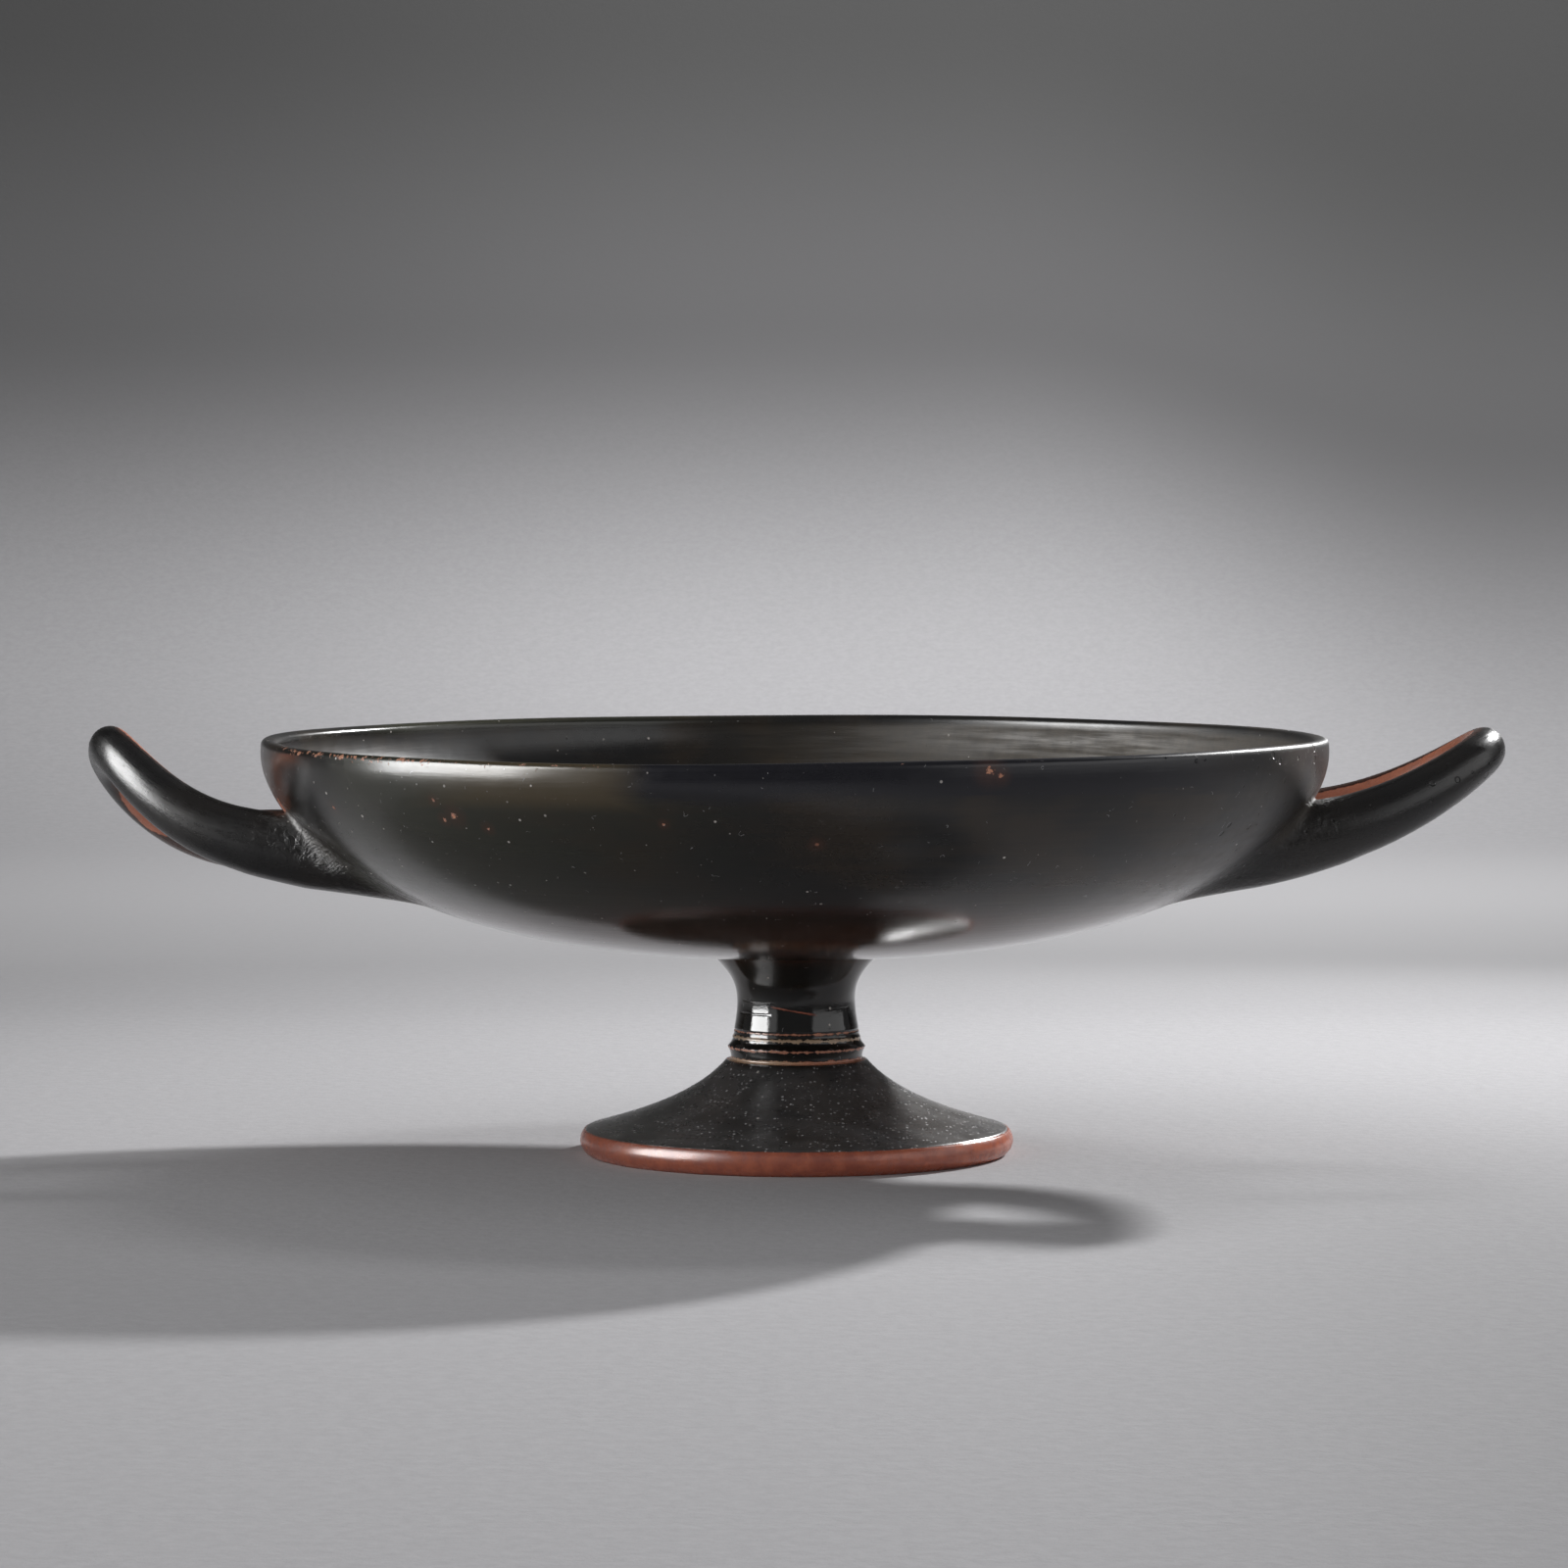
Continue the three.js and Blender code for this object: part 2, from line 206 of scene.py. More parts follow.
def outline_parts():
    """The turned outline as named stretches, from the hollow under the foot to the bowl's floor."""
    edge = foot_edge()
    neck = np.array([FOOT_NECK_RADIUS, FILLET[1] - FILLET_DEPTH - SCORE_DEPTH / 2])
    sole = np.array([FOOT_SOLE_INNER - SCORE_DEPTH, FOOT_EDGE_HEIGHT - FOOT_PLATE])
    under = bezier([
        (HOLLOW_TOP_RADIUS, HOLLOW_DEPTH),
        (HOLLOW_TOP_RADIUS + 1.6, HOLLOW_DEPTH * 0.38),
        (FOOT_SOLE_INNER * 0.45, sole[1] + FOOT_PLATE),
        sole,
    ], np.linspace(0, 1, 22))
    step = edge[-1] + np.array([(-0.16, -0.02), (-0.3, 0.03), (-0.4, 0.2)])
    top = bezier([
        step[-1] + (-0.12, 0.06),
        (FOOT_RADIUS - 9.0, FOOT_EDGE_HEIGHT + 1.4),
        (FOOT_NECK_RADIUS + 5.6, neck[1] * 0.61),
        neck,
    ], np.linspace(0, 1, 34))
    sharp = np.array([FILLET[0] - 0.2, FILLET[1] - 0.2])
    ring = np.concatenate([
        bezier([
            (sharp[0] - 0.6, neck[1] + 0.5),
            (sharp[0] - 0.5, sharp[1] - 0.9),
            sharp + (-0.06, -0.12),
        ], np.linspace(0, 1, 7)),
        [sharp],
    ])
    collar_foot = sharp + np.array([(-0.08, 0.12), (-0.26, 0.36)])
    waist = np.array(STEM_WAIST)
    collar = np.concatenate([
        bezier([
            collar_foot[-1],
            (COLLAR[0] - 0.32, sharp[1] + 0.9),
            (COLLAR[0] - 0.42, COLLAR[1] - 0.1),
        ], np.linspace(0.15, 1, 6)),
        np.array([(COLLAR[0] - 0.38, COLLAR[1] + 0.08), (COLLAR[0] - 0.5, COLLAR[1] + 0.3)]),
        bezier([
            (COLLAR[0] - 0.62, COLLAR[1] + 0.5),
            (waist[0] + 0.02, waist[1] - 0.6),
            (waist[0] + 0.02, waist[1] - 0.32),
        ], np.linspace(0, 1, 4)),
        np.array([(waist[0] - 0.12, waist[1] - 0.16), (waist[0] - 0.02, waist[1] - 0.02)]),
    ])
    rise = BOWL_BASE[1] - waist[1]
    stem = bezier([
        waist,
        (waist[0] - STEM_PINCH, waist[1] + rise * 0.6),
        (waist[0] + 0.24, BOWL_BASE[1] - rise * 0.32),
        BOWL_BASE,
    ], np.linspace(0.012, 1, 36))
    bowl_steps = np.concatenate([np.linspace(0.01, 0.86, 38), np.linspace(0.88, 1, 10)])
    bowl = bowl_outside(bowl_steps)
    inside_top = bowl_inside([1.0])[0]
    crest = np.array([BOWL_RADIUS - LIP_ROUNDING, CUP_HEIGHT])
    lip = np.concatenate([
        bezier([bowl[-1], (BOWL_RADIUS, CUP_HEIGHT), crest], np.linspace(0.1, 1, 9)),
        bezier([crest, (inside_top[0], CUP_HEIGHT), inside_top], np.linspace(0.1, 1, 10)),
    ])
    inside_steps = np.concatenate([np.linspace(0.985, 0.86, 7), np.linspace(0.84, 0, 34)])
    inside = bowl_inside(inside_steps)
    floor = np.stack([np.linspace(inside[-1, 0], 2.0, 9)[1:], np.full(8, inside[-1, 1])], 1)
    return {
        "hollow": under,
        "sole": np.array([
            sole + (0.12, -0.75), sole + (0.26, -1.6), (FOOT_SOLE_INNER + 0.05, 0.12),
            (FOOT_SOLE_INNER + 0.45, 0), (FOOT_SOLE_INNER + 1.6, 0),
        ]),
        "edge": edge,
        "step": step,
        "top": top,
        "neck": neck + np.array([(-0.45, -0.02), (-0.85, 0.12), (-0.98, 0.3)]),
        "ring": ring,
        "collar_foot": collar_foot,
        "collar": collar,
        "stem": stem,
        "bowl": bowl,
        "lip": lip,
        "inside": inside,
        "floor": floor,
    }


PARTS = outline_parts()
OUTLINE = np.concatenate(list(PARTS.values()))
TOP_OF_HOLLOW = HOLLOW_DEPTH + HOLLOW_TOP_RADIUS * 0.5
ARC = np.concatenate([[0], np.cumsum(np.linalg.norm(np.diff(OUTLINE, axis=0), axis=1))])


def stretch(name):
    """A named stretch: its points, and where each of them is along the outline, in mm."""
    names = list(PARTS)
    before = sum(len(PARTS[n]) for n in names[:names.index(name)])
    return PARTS[name], ARC[before:before + len(PARTS[name])]


def arc_span(name):
    """Where a named stretch starts and ends along the outline."""
    _, arc = stretch(name)
    return arc[0], arc[-1]


def arc_at_height(name, z):
    """Where along the outline a named stretch passes a height."""
    part, arc = stretch(name)
    return np.interp(z, part[:, 1], arc)


def arc_at_radius(name, radius):
    """Where along the outline a named stretch has a radius."""
    part, arc = stretch(name)
    order = np.argsort(part[:, 0])
    return float(np.interp(radius, part[order, 0], arc[order]))


CALM_HEIGHT = 56.0
CALM_ARC = arc_at_height("bowl", CALM_HEIGHT)  # a place on the bowl with no line or chip on it


def thrown(r, z, turn):
    """A point of the turned outline, moved to where the hand and the kiln left it."""
    high = smooth(LIP_FROM, CUP_HEIGHT, z)
    off = np.angle(np.exp(1j * (turn - RIM_DIP_TURN)))
    dip = RIM_DIP * np.exp(-(off / RIM_DIP_SPREAD) ** 2)
    wave = sum(depth * np.sin(count * turn + phase) for depth, count, phase in RIM_WAVES)
    radius = np.minimum(r - high * RIM_OVAL * np.cos(turn) ** 2, BOWL_RADIUS - 0.01)
    shift = FOOT_SHIFT * (1 - smooth(*FOOT_SHIFT_FADE, z))
    x = radius * np.cos(turn) + shift
    y = radius * np.sin(turn)
    return np.stack([x, y, z - high * (dip + RIM_WAVES_DEPTH + wave)], -1)


def turned_body():
    """Vertices, faces and outline position of the turned body."""
    lip_zone = OUTLINE[:, 0] > bowl_outside([LIP_ZONE_START])[0, 0]
    lip_zone &= OUTLINE[:, 1] > LIP_FROM
    counts = np.where(lip_zone, AROUND_LIP, AROUND)
    points, arcs, starts = [], [], []
    total = 0
    for (r, z), arc, count in zip(OUTLINE, ARC, counts):
        turn = 2 * math.pi * np.arange(count) / count
        points.append(thrown(r, np.full(count, z), turn))
        arcs.append(np.full(count, arc))
        starts.append(total)
        total += count
    faces = []
    for k in range(len(OUTLINE) - 1):
        a, b, n, m = starts[k], starts[k + 1], counts[k], counts[k + 1]
        i = np.arange(min(n, m))
        j = (i + 1) % min(n, m)
        if n == m:
            faces += np.stack([a + i, a + j, b + j, b + i], 1).tolist()
        elif m > n:
            faces += np.stack([a + i, b + 2 * i + 1, b + 2 * i], 1).tolist()
            faces += np.stack([a + i, a + j, b + 2 * i + 1], 1).tolist()
            faces += np.stack([a + j, b + 2 * j, b + 2 * i + 1], 1).tolist()
        else:
            faces += np.stack([a + 2 * i, a + 2 * i + 1, b + i], 1).tolist()
            faces += np.stack([a + 2 * i + 1, b + j, b + i], 1).tolist()
            faces += np.stack([a + 2 * i + 1, a + 2 * j, b + j], 1).tolist()
    points.append([[FOOT_SHIFT, 0, TOP_OF_HOLLOW], [0, 0, OUTLINE[-1, 1]]])
    arcs.append([0, ARC[-1]])
    i = np.arange(AROUND)
    j = (i + 1) % AROUND
    faces += np.stack([np.full(AROUND, total), starts[0] + j, starts[0] + i], 1).tolist()
    last = starts[-1]
    faces += np.stack([np.full(AROUND, total + 1), last + i, last + j], 1).tolist()
    return np.concatenate(points), faces, np.concatenate(arcs)


def flare_at(reach):
    """How much of an arm's widening is there, from 0 clear of the bowl to 1 in its wall."""
    span = FLARE_OVERHANG + ARM_CURVE_START
    return np.clip((BOWL_RADIUS + FLARE_OVERHANG - reach) / span, 0, 1) ** FLARE_POWER


def middle_line(h, t):
    """Middle of a handle's clay, and its reach from the cup's axis."""
    straight = ARM_STRAIGHT
    start = BOWL_RADIUS - ARM_CURVE_START
    tip = BOWL_RADIUS + h.overhang
    buried = start - ARM_BURIED
    angle = math.pi * np.clip((t - straight) / (1 - 2 * straight), 0, 1)
    power = 2 / h.squareness
    lateral = -np.sign(np.cos(angle)) * np.abs(np.cos(angle)) ** power
    reach = start + (tip - start) * np.abs(np.sin(angle)) ** power
    reach = np.where(t < straight, lerp(buried, start, t / straight), reach)
    reach = np.where(t > 1 - straight, lerp(buried, start, (1 - t) / straight), reach)
    curl_start = BOWL_RADIUS - h.curl_start
    rise = np.maximum(0, (reach - curl_start) / (tip - curl_start))
    z = h.height + h.curl * rise ** h.power - (h.lean + h.droop * rise) * lateral
    z = z - h.sink * flare_at(reach)
    return np.stack([reach + h.skew * lateral * rise, ARM_HALF_SPREAD * lateral, z], -1), reach


class Arm:
    """One handle's swept surface, by distance along its middle line and angle round it."""

    def __init__(self, h):
        self.h = h
        dense, reach = middle_line(h, np.linspace(0, 1, 12001))
        run = np.concatenate([[0], np.cumsum(np.linalg.norm(np.diff(dense, axis=0), axis=1))])
        self.length = run[-1]
        self.s = np.linspace(0, self.length, 1201)
        self.centre = np.stack([np.interp(self.s, run, dense[:, i]) for i in range(3)], 1)
        self.reach = np.interp(self.s, run, reach)
        self.along = unit(np.gradient(self.centre, self.s, axis=0))
        self.across = unit(np.cross(self.along, [0, 0, 1]))
        self.over = np.cross(self.across, self.along)
        share = np.clip((self.reach - BOWL_RADIUS) / h.overhang, 0, 1)
        radius = lerp(ARM_RADIUS, TIP_RADIUS, share)
        flare = flare_at(self.reach)
        self.high = radius + h.flare * flare
        self.wide = radius * ARM_FLATTENING + ROOT_SPREAD * flare

    def at(self, values, s):
        """A quantity of the middle line at distances s, of any shape."""
        if values.ndim == 1:
            return np.interp(s, self.s, values)
        return np.stack([np.interp(s, self.s, values[:, i]) for i in range(3)], -1)

    def surface(self, s, angle):
        """Points on the clay, with x as the reach."""
        cos, sin = np.cos(angle)[..., None], np.sin(angle)[..., None]
        side = cos * self.at(self.wide, s)[..., None] * self.at(self.across, s)
        top = sin * self.at(self.high, s)[..., None] * self.at(self.over, s)
        return self.at(self.centre, s) + side + top

    def hit(self, angle, end):
        """Distance along the middle line at which each column meets the bowl, at one end."""
        half = len(self.s) // 2
        s = self.s[:half] if end < 0 else self.s[:half:-1]
        found = []
        for a in angle:
            gap = bowl_gap(self.surface(s, np.full(len(s), a)))
            i = np.nonzero(gap < 0)[0].max()
            found.append(lerp(s[i], s[i + 1], -gap[i] / (gap[i + 1] - gap[i])))
        return np.array(found)


def root_fillet(arm, angle, end):
    """Rings from an arm out onto the bowl, and one more under its surface. Returns them, the
    distance along the middle line at which the arm's plain surface ends, and the crease."""
    hit = arm.hit(angle, end)
    outer = (1 + np.cos(angle)) / 2
    under = (1 - np.sin(angle)) / 2
    reach = lerp(ROOT_REACH_OVER, lerp(ROOT_REACH_INNER, ROOT_REACH_OUTER, outer), under ** 0.8)
    start = hit - end * reach
    p0 = arm.surface(start, angle)
    into = unit(p0 - arm.surface(start - end * 0.5, angle))
    at_hit = arm.surface(hit, angle)
    normal = bowl_normal(at_hit)
    cos, sin = np.cos(angle)[:, None], np.sin(angle)[:, None]
    outward = unit(cos * arm.at(arm.across, hit) + sin * arm.at(arm.over, hit))
    slide = unit(outward - (outward * normal).sum(1, keepdims=True) * normal)
    p3 = at_hit + slide * reach[:, None]
    for _ in range(3):
        p3 = p3 - bowl_normal(p3) * (bowl_gap(p3) + ROOT_SINK)[:, None]
    normal = bowl_normal(p3)
    slide = unit(slide - (slide * normal).sum(1, keepdims=True) * normal - 0.05 * normal)
    length = np.linalg.norm(p3 - p0, axis=1)[:, None]
    p1 = p0 + into * length * ROOT_FULLNESS
    p2 = p3 - slide * length * ROOT_FULLNESS
    rings = []
    for t in np.linspace(0, 1, FILLET_RINGS + 1)[1:]:
        u = 1 - t
        rings.append(u ** 3 * p0 + 3 * u * u * t * p1 + 3 * u * t * t * p2 + t ** 3 * p3)
    rings.append(p3 - normal * ROOT_TUCK[0] - slide * ROOT_TUCK[1])
    return rings, start, at_hit


def handle_mesh(h):
    """One handle, from deep in the bowl's wall round and back: its points and faces, what
    its surface says at each point, and the creases where it meets the bowl."""
    arm = Arm(h)
    angle = 2 * math.pi * np.arange(ARM_COLUMNS) / ARM_COLUMNS
    front, s0, front_crease = root_fillet(arm, angle, -1)
    back, s1, back_crease = root_fillet(arm, angle, 1)
    stations = [lerp(s0, s1, k / ARM_RINGS) for k in range(ARM_RINGS + 1)]
    grid = np.array(front[::-1] + [arm.surface(s, angle) for s in stations] + back)
    count = len(grid)
    runs = np.array([s0] * len(front) + stations + [s1] * len(back))
    thick = (arm.at(arm.wide, runs) + arm.at(arm.high, runs)) / 2
    off_inside = np.abs(np.angle(np.exp(1j * (angle - math.pi))))
    bare = (math.radians(BARE_HALF_TURN) - off_inside) * thick
    stroke = np.stack([np.cos(angle) * thick, np.sin(angle) * thick, runs], -1)
    caps = []
    for ring in (grid[0], grid[-1]):
        middle = ring.mean(0)
        caps.append(middle - bowl_normal(middle) * (bowl_gap(middle) + CAP_DEPTH))
    points = np.concatenate([grid.reshape(-1, 3), caps])
    points[:, 0] *= h.side
    i = np.arange(ARM_COLUMNS)
    j = (i + 1) % ARM_COLUMNS
    faces = []
    for k in range(count - 1):
        a, b = k * ARM_COLUMNS, (k + 1) * ARM_COLUMNS
        faces += np.stack([a + i, b + i, b + j, a + j], 1).tolist()
    last = (count - 1) * ARM_COLUMNS
    cap = count * ARM_COLUMNS
    faces += np.stack([np.full(ARM_COLUMNS, cap), i, j], 1).tolist()
    faces += np.stack([np.full(ARM_COLUMNS, cap + 1), last + j, last + i], 1).tolist()
    if h.side < 0:
        faces = [f[::-1] for f in faces]
    creases = np.concatenate([front_crease, back_crease]) * (h.side, 1, 1)
    says = {
        "arc": np.full(len(points), CALM_ARC),
        "bare": np.concatenate([bare.ravel(), np.zeros(2)]),
        "arm": smooth(0, 2.5, bowl_gap(points)),
        "stroke": np.concatenate([stroke.reshape(-1, 3), np.zeros((2, 3))]),
    }
    return points, faces, says, creases


def make_object(name, points, faces):
    mesh = bpy.data.meshes.new(name)
    mesh.from_pydata((np.asarray(points, float) * MM).tolist(), [], faces)
    mesh.update()
    obj = bpy.data.objects.new(name, mesh)
    bpy.context.scene.collection.objects.link(obj)
    return obj


def joined(body, others):
    """The body and the others as one closed mesh."""
    for other in others:
        union = body.modifiers.new("join", "BOOLEAN")
        union.operation = "UNION"
        union.solver = "EXACT"
        union.object = other
    bpy.context.view_layer.update()
    seen = body.evaluated_get(bpy.context.evaluated_depsgraph_get())
    mesh = bpy.data.meshes.new_from_object(seen)
    for obj in [body, *others]:
        bpy.data.objects.remove(obj)
    return mesh


def nearest(points, wanted):
    """For each wanted point, which of the points is nearest, and how far it is."""
    tree = kdtree.KDTree(len(points))
    for i, p in enumerate(points):
        tree.insert(p, i)
    tree.balance()
    found = [tree.find(p) for p in wanted]
    return np.array([f[1] for f in found]), np.array([f[2] for f in found])


def store(mesh, name, values):
    kind, field = ("FLOAT_VECTOR", "vector") if values.ndim == 2 else ("FLOAT", "value")
    layer = mesh.attributes.new(name, kind, "POINT")
    layer.data.foreach_set(field, values.astype(np.float32).ravel())


def build_cup():
    """The whole cup as one mesh that knows, at each point, what part of the cup it is."""
    points, faces, arcs = turned_body()
    body = make_object("body", points, faces)
    count = len(points)
    says = [{
        "arc": arcs,
        "bare": np.full(count, NOT_BARE),
        "arm": np.zeros(count),
        "stroke": np.zeros((count, 3)),
    }]
    sources, handles, creases = [points], [], []
    for name, h in HANDLES.items():
        points, faces, said, crease = handle_mesh(h)
        handles.append(make_object(name, points, faces))
        sources.append(points)
        says.append(said)
        creases.append(crease)
    mesh = joined(body, handles)
    mesh.name = "kylix_fired_clay"
    mesh.shade_smooth()
    made = np.array([v.co for v in mesh.vertices]) / MM
    index, _ = nearest(np.concatenate(sources), made)
    for key in says[0]:
        store(mesh, key, np.concatenate([said[key] for said in says])[index])
    _, seam = nearest(np.concatenate(creases), made)
    store(mesh, "seam", seam)
    cup = bpy.data.objects.new("kylix_fired_clay", mesh)
    bpy.context.scene.collection.objects.link(cup)
    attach(cup, "root")
    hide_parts("kylix_cup")
    return cup


class Graph:
    """A material's nodes. Calls take numbers, colours or the outputs of other calls."""

    def __init__(self, name):
        self.material = bpy.data.materials.new(name)
        self.material.use_nodes = True
        self.tree = self.material.node_tree
        self.shader = self.tree.nodes["Principled BSDF"]

    def feed(self, socket, value):
        if isinstance(value, bpy.types.NodeSocket):
            self.tree.links.new(value, socket)
        elif socket.type == "RGBA":
            socket.default_value = (*value, 1)
        else:
            socket.default_value = value

    def node(self, kind, inputs, out=0, **settings):
        made = self.tree.nodes.new(kind)
        for key, value in settings.items():
            setattr(made, key, value)
        for key, value in inputs.items():
            self.feed(made.inputs[key], value)
        return made.outputs[out]

    def math(self, operation, a, b=0.0):
        return self.node("ShaderNodeMath", {0: a, 1: b}, operation=operation)

    def plus(self, a, b):
        return self.math("ADD", a, b)

    def minus(self, a, b):
        return self.math("SUBTRACT", a, b)

    def times(self, a, b):
        return self.math("MULTIPLY", a, b)

    def most(self, *values):
        result = values[0]
        for value in values[1:]:
            result = self.math("MAXIMUM", result, value)
        return result

    def least(self, *values):
        result = values[0]
        for value in values[1:]:
            result = self.math("MINIMUM", result, value)
        return result

    def far(self, a, b):
        """Distance between two numbers."""
        return self.math("ABSOLUTE", self.minus(a, b))

    def rise(self, value, low, high, start=0.0, end=1.0):
        """Goes smoothly from start at low to end at high, whichever of the two is larger."""
        inputs = {"Value": value, "From Min": low, "From Max": high, "To Min": start, "To Max": end}
        if isinstance(low, float) and isinstance(high, float) and low > high:
            inputs.update({"From Min": high, "From Max": low, "To Min": end, "To Max": start})
        return self.node("ShaderNodeMapRange", inputs, interpolation_type="SMOOTHSTEP")

    def vector(self, x, y, z):
        return self.node("ShaderNodeCombineXYZ", {"X": x, "Y": y, "Z": z})

    def noise(self, vector, scale, detail=2.0, rough=0.5, warp=0.0):
        inputs = {"Vector": vector, "Scale": scale, "Detail": detail, "Roughness": rough}
        inputs["Distortion"] = warp
        return self.node("ShaderNodeTexNoise", inputs)

    def centred(self, noise):
        """A noise moved so that its middle is 0."""
        return self.minus(noise, 0.5)

    def mix(self, share, a, b):
        """From colour a to colour b."""
        made = self.tree.nodes.new("ShaderNodeMix")
        made.data_type = "RGBA"
        for socket, value in zip((made.inputs[0], made.inputs[6], made.inputs[7]), (share, a, b)):
            self.feed(socket, value)
        return made.outputs[2]

    def attribute(self, name, vector=False):
        made = self.tree.nodes.new("ShaderNodeAttribute")
        made.attribute_name = name
        return made.outputs["Vector" if vector else "Fac"]

    def place(self):
        """Where the surface is, in mm."""
        coordinates = self.tree.nodes.new("ShaderNodeTexCoord").outputs["Object"]
        made = self.tree.nodes.new("ShaderNodeVectorMath")
        made.operation = "SCALE"
        self.feed(made.inputs[0], coordinates)
        made.inputs["Scale"].default_value = 1 / MM
        return made.outputs[0]

    def away(self, place, point):
        """Distance from a point."""
        inputs = {0: place, 1: point}
        return self.node("ShaderNodeVectorMath", inputs, out="Value", operation="DISTANCE")

    def split(self, vector):
        made = self.tree.nodes.new("ShaderNodeSeparateXYZ")
        self.feed(made.inputs[0], vector)
        return made.outputs[0], made.outputs[1], made.outputs[2]


# Colours of the fired surface, in linear light
BLACK = (0.011, 0.0105, 0.0105)
# Olive tint, which on the bowl's front left also stands for a painted sheen
OLIVE = (0.042, 0.043, 0.028)
BROWN_BLACK = (0.030, 0.021, 0.013)
BLUE_BLACK = (0.008, 0.008, 0.013)
# Olive brown, which inside the bowl on the right also stands for painted bounce light
OLIVE_BROWN = (0.11, 0.078, 0.036)
THIN_SLIP = (0.11, 0.042, 0.026)
CLAY = (0.60, 0.18, 0.10)
CLAY_DARK = (0.36, 0.095, 0.06)
CLAY_PALE = (0.85, 0.42, 0.26)
TAN = (0.66, 0.46, 0.30)
DUST = (0.62, 0.61, 0.62)
SPECK = (0.92, 0.86, 0.80)
# Red brown painted on the bowl's underside as the reflection of the red foot
PAINTED_FOOT_REFLECTION = (0.055, 0.023, 0.013)

GLOSS_IOR = 1.55

# Single marks: where they are on the cup's front, as x and z, how large, and how fiery
CHIPS = (
    (32.3, 74.4, 0.9, 0.9),
    (34.2, 73.6, 0.6, 0.8),
    (-57.9, 65.9, 0.8, 1.0),
    (-59.6, 65.2, 0.5, 0.8),
    (-52.0, 64.0, 0.45, 1.0),
    (-61.5, 68.6, 0.4, 0.7),
    (-22.0, 65.5, 0.35, 0.8),
    (3.5, 62.2, 0.5, 0.5),
    (-80.2, 66.0, 0.5, 0.9),
)

# Stretches of the lip with less slip: where they start, are full, stop being full and end,
# in degrees round the cup, and how much more is worn off there
WORN_LIP = (
    (-166.0, -158.0, -134.0, -120.0, 0.14),
    (-128.0, -122.0, -112.0, -106.0, 0.08),
    (100.0, 108.0, 118.0, 126.0, 0.09),
)

# Turned grooves in the stem: height, and the degrees round the cup between which they run
STEM_GROOVES = ((28.4, -155.0, -108.0), (26.1, -160.0, -112.0), (27.1, -62.0, -25.0))

# A line of clay that climbs round the stem: its height at a turn, its climb for each degree,
# and the degrees where it starts, is full, stops being full and ends
SPIRAL_HEIGHT, SPIRAL_TURN, SPIRAL_CLIMB = 26.6, -82.0, -0.032
SPIRAL_ENDS = (-116.0, -108.0, -78.0, -66.0)

# Under the foot and at the collar
GLOSSED_CONE_RADIUS = 17.0  # the hollow under the foot is glossed within this radius
TAN_LINE_TURN = -150.0  # degrees round the cup at which the tan line is furthest up

# Places beside the left handle's front root
LEFT_CREASE = (-90.5, -14.0, 64.5)
SCRATCHED = (-80.5, -27.5, 59.5)


def on_front(x, z):
    """The point of the bowl's front that has this x and z."""
    return (x, -math.sqrt(float(bowl_radius(z)) ** 2 - x * x), z)


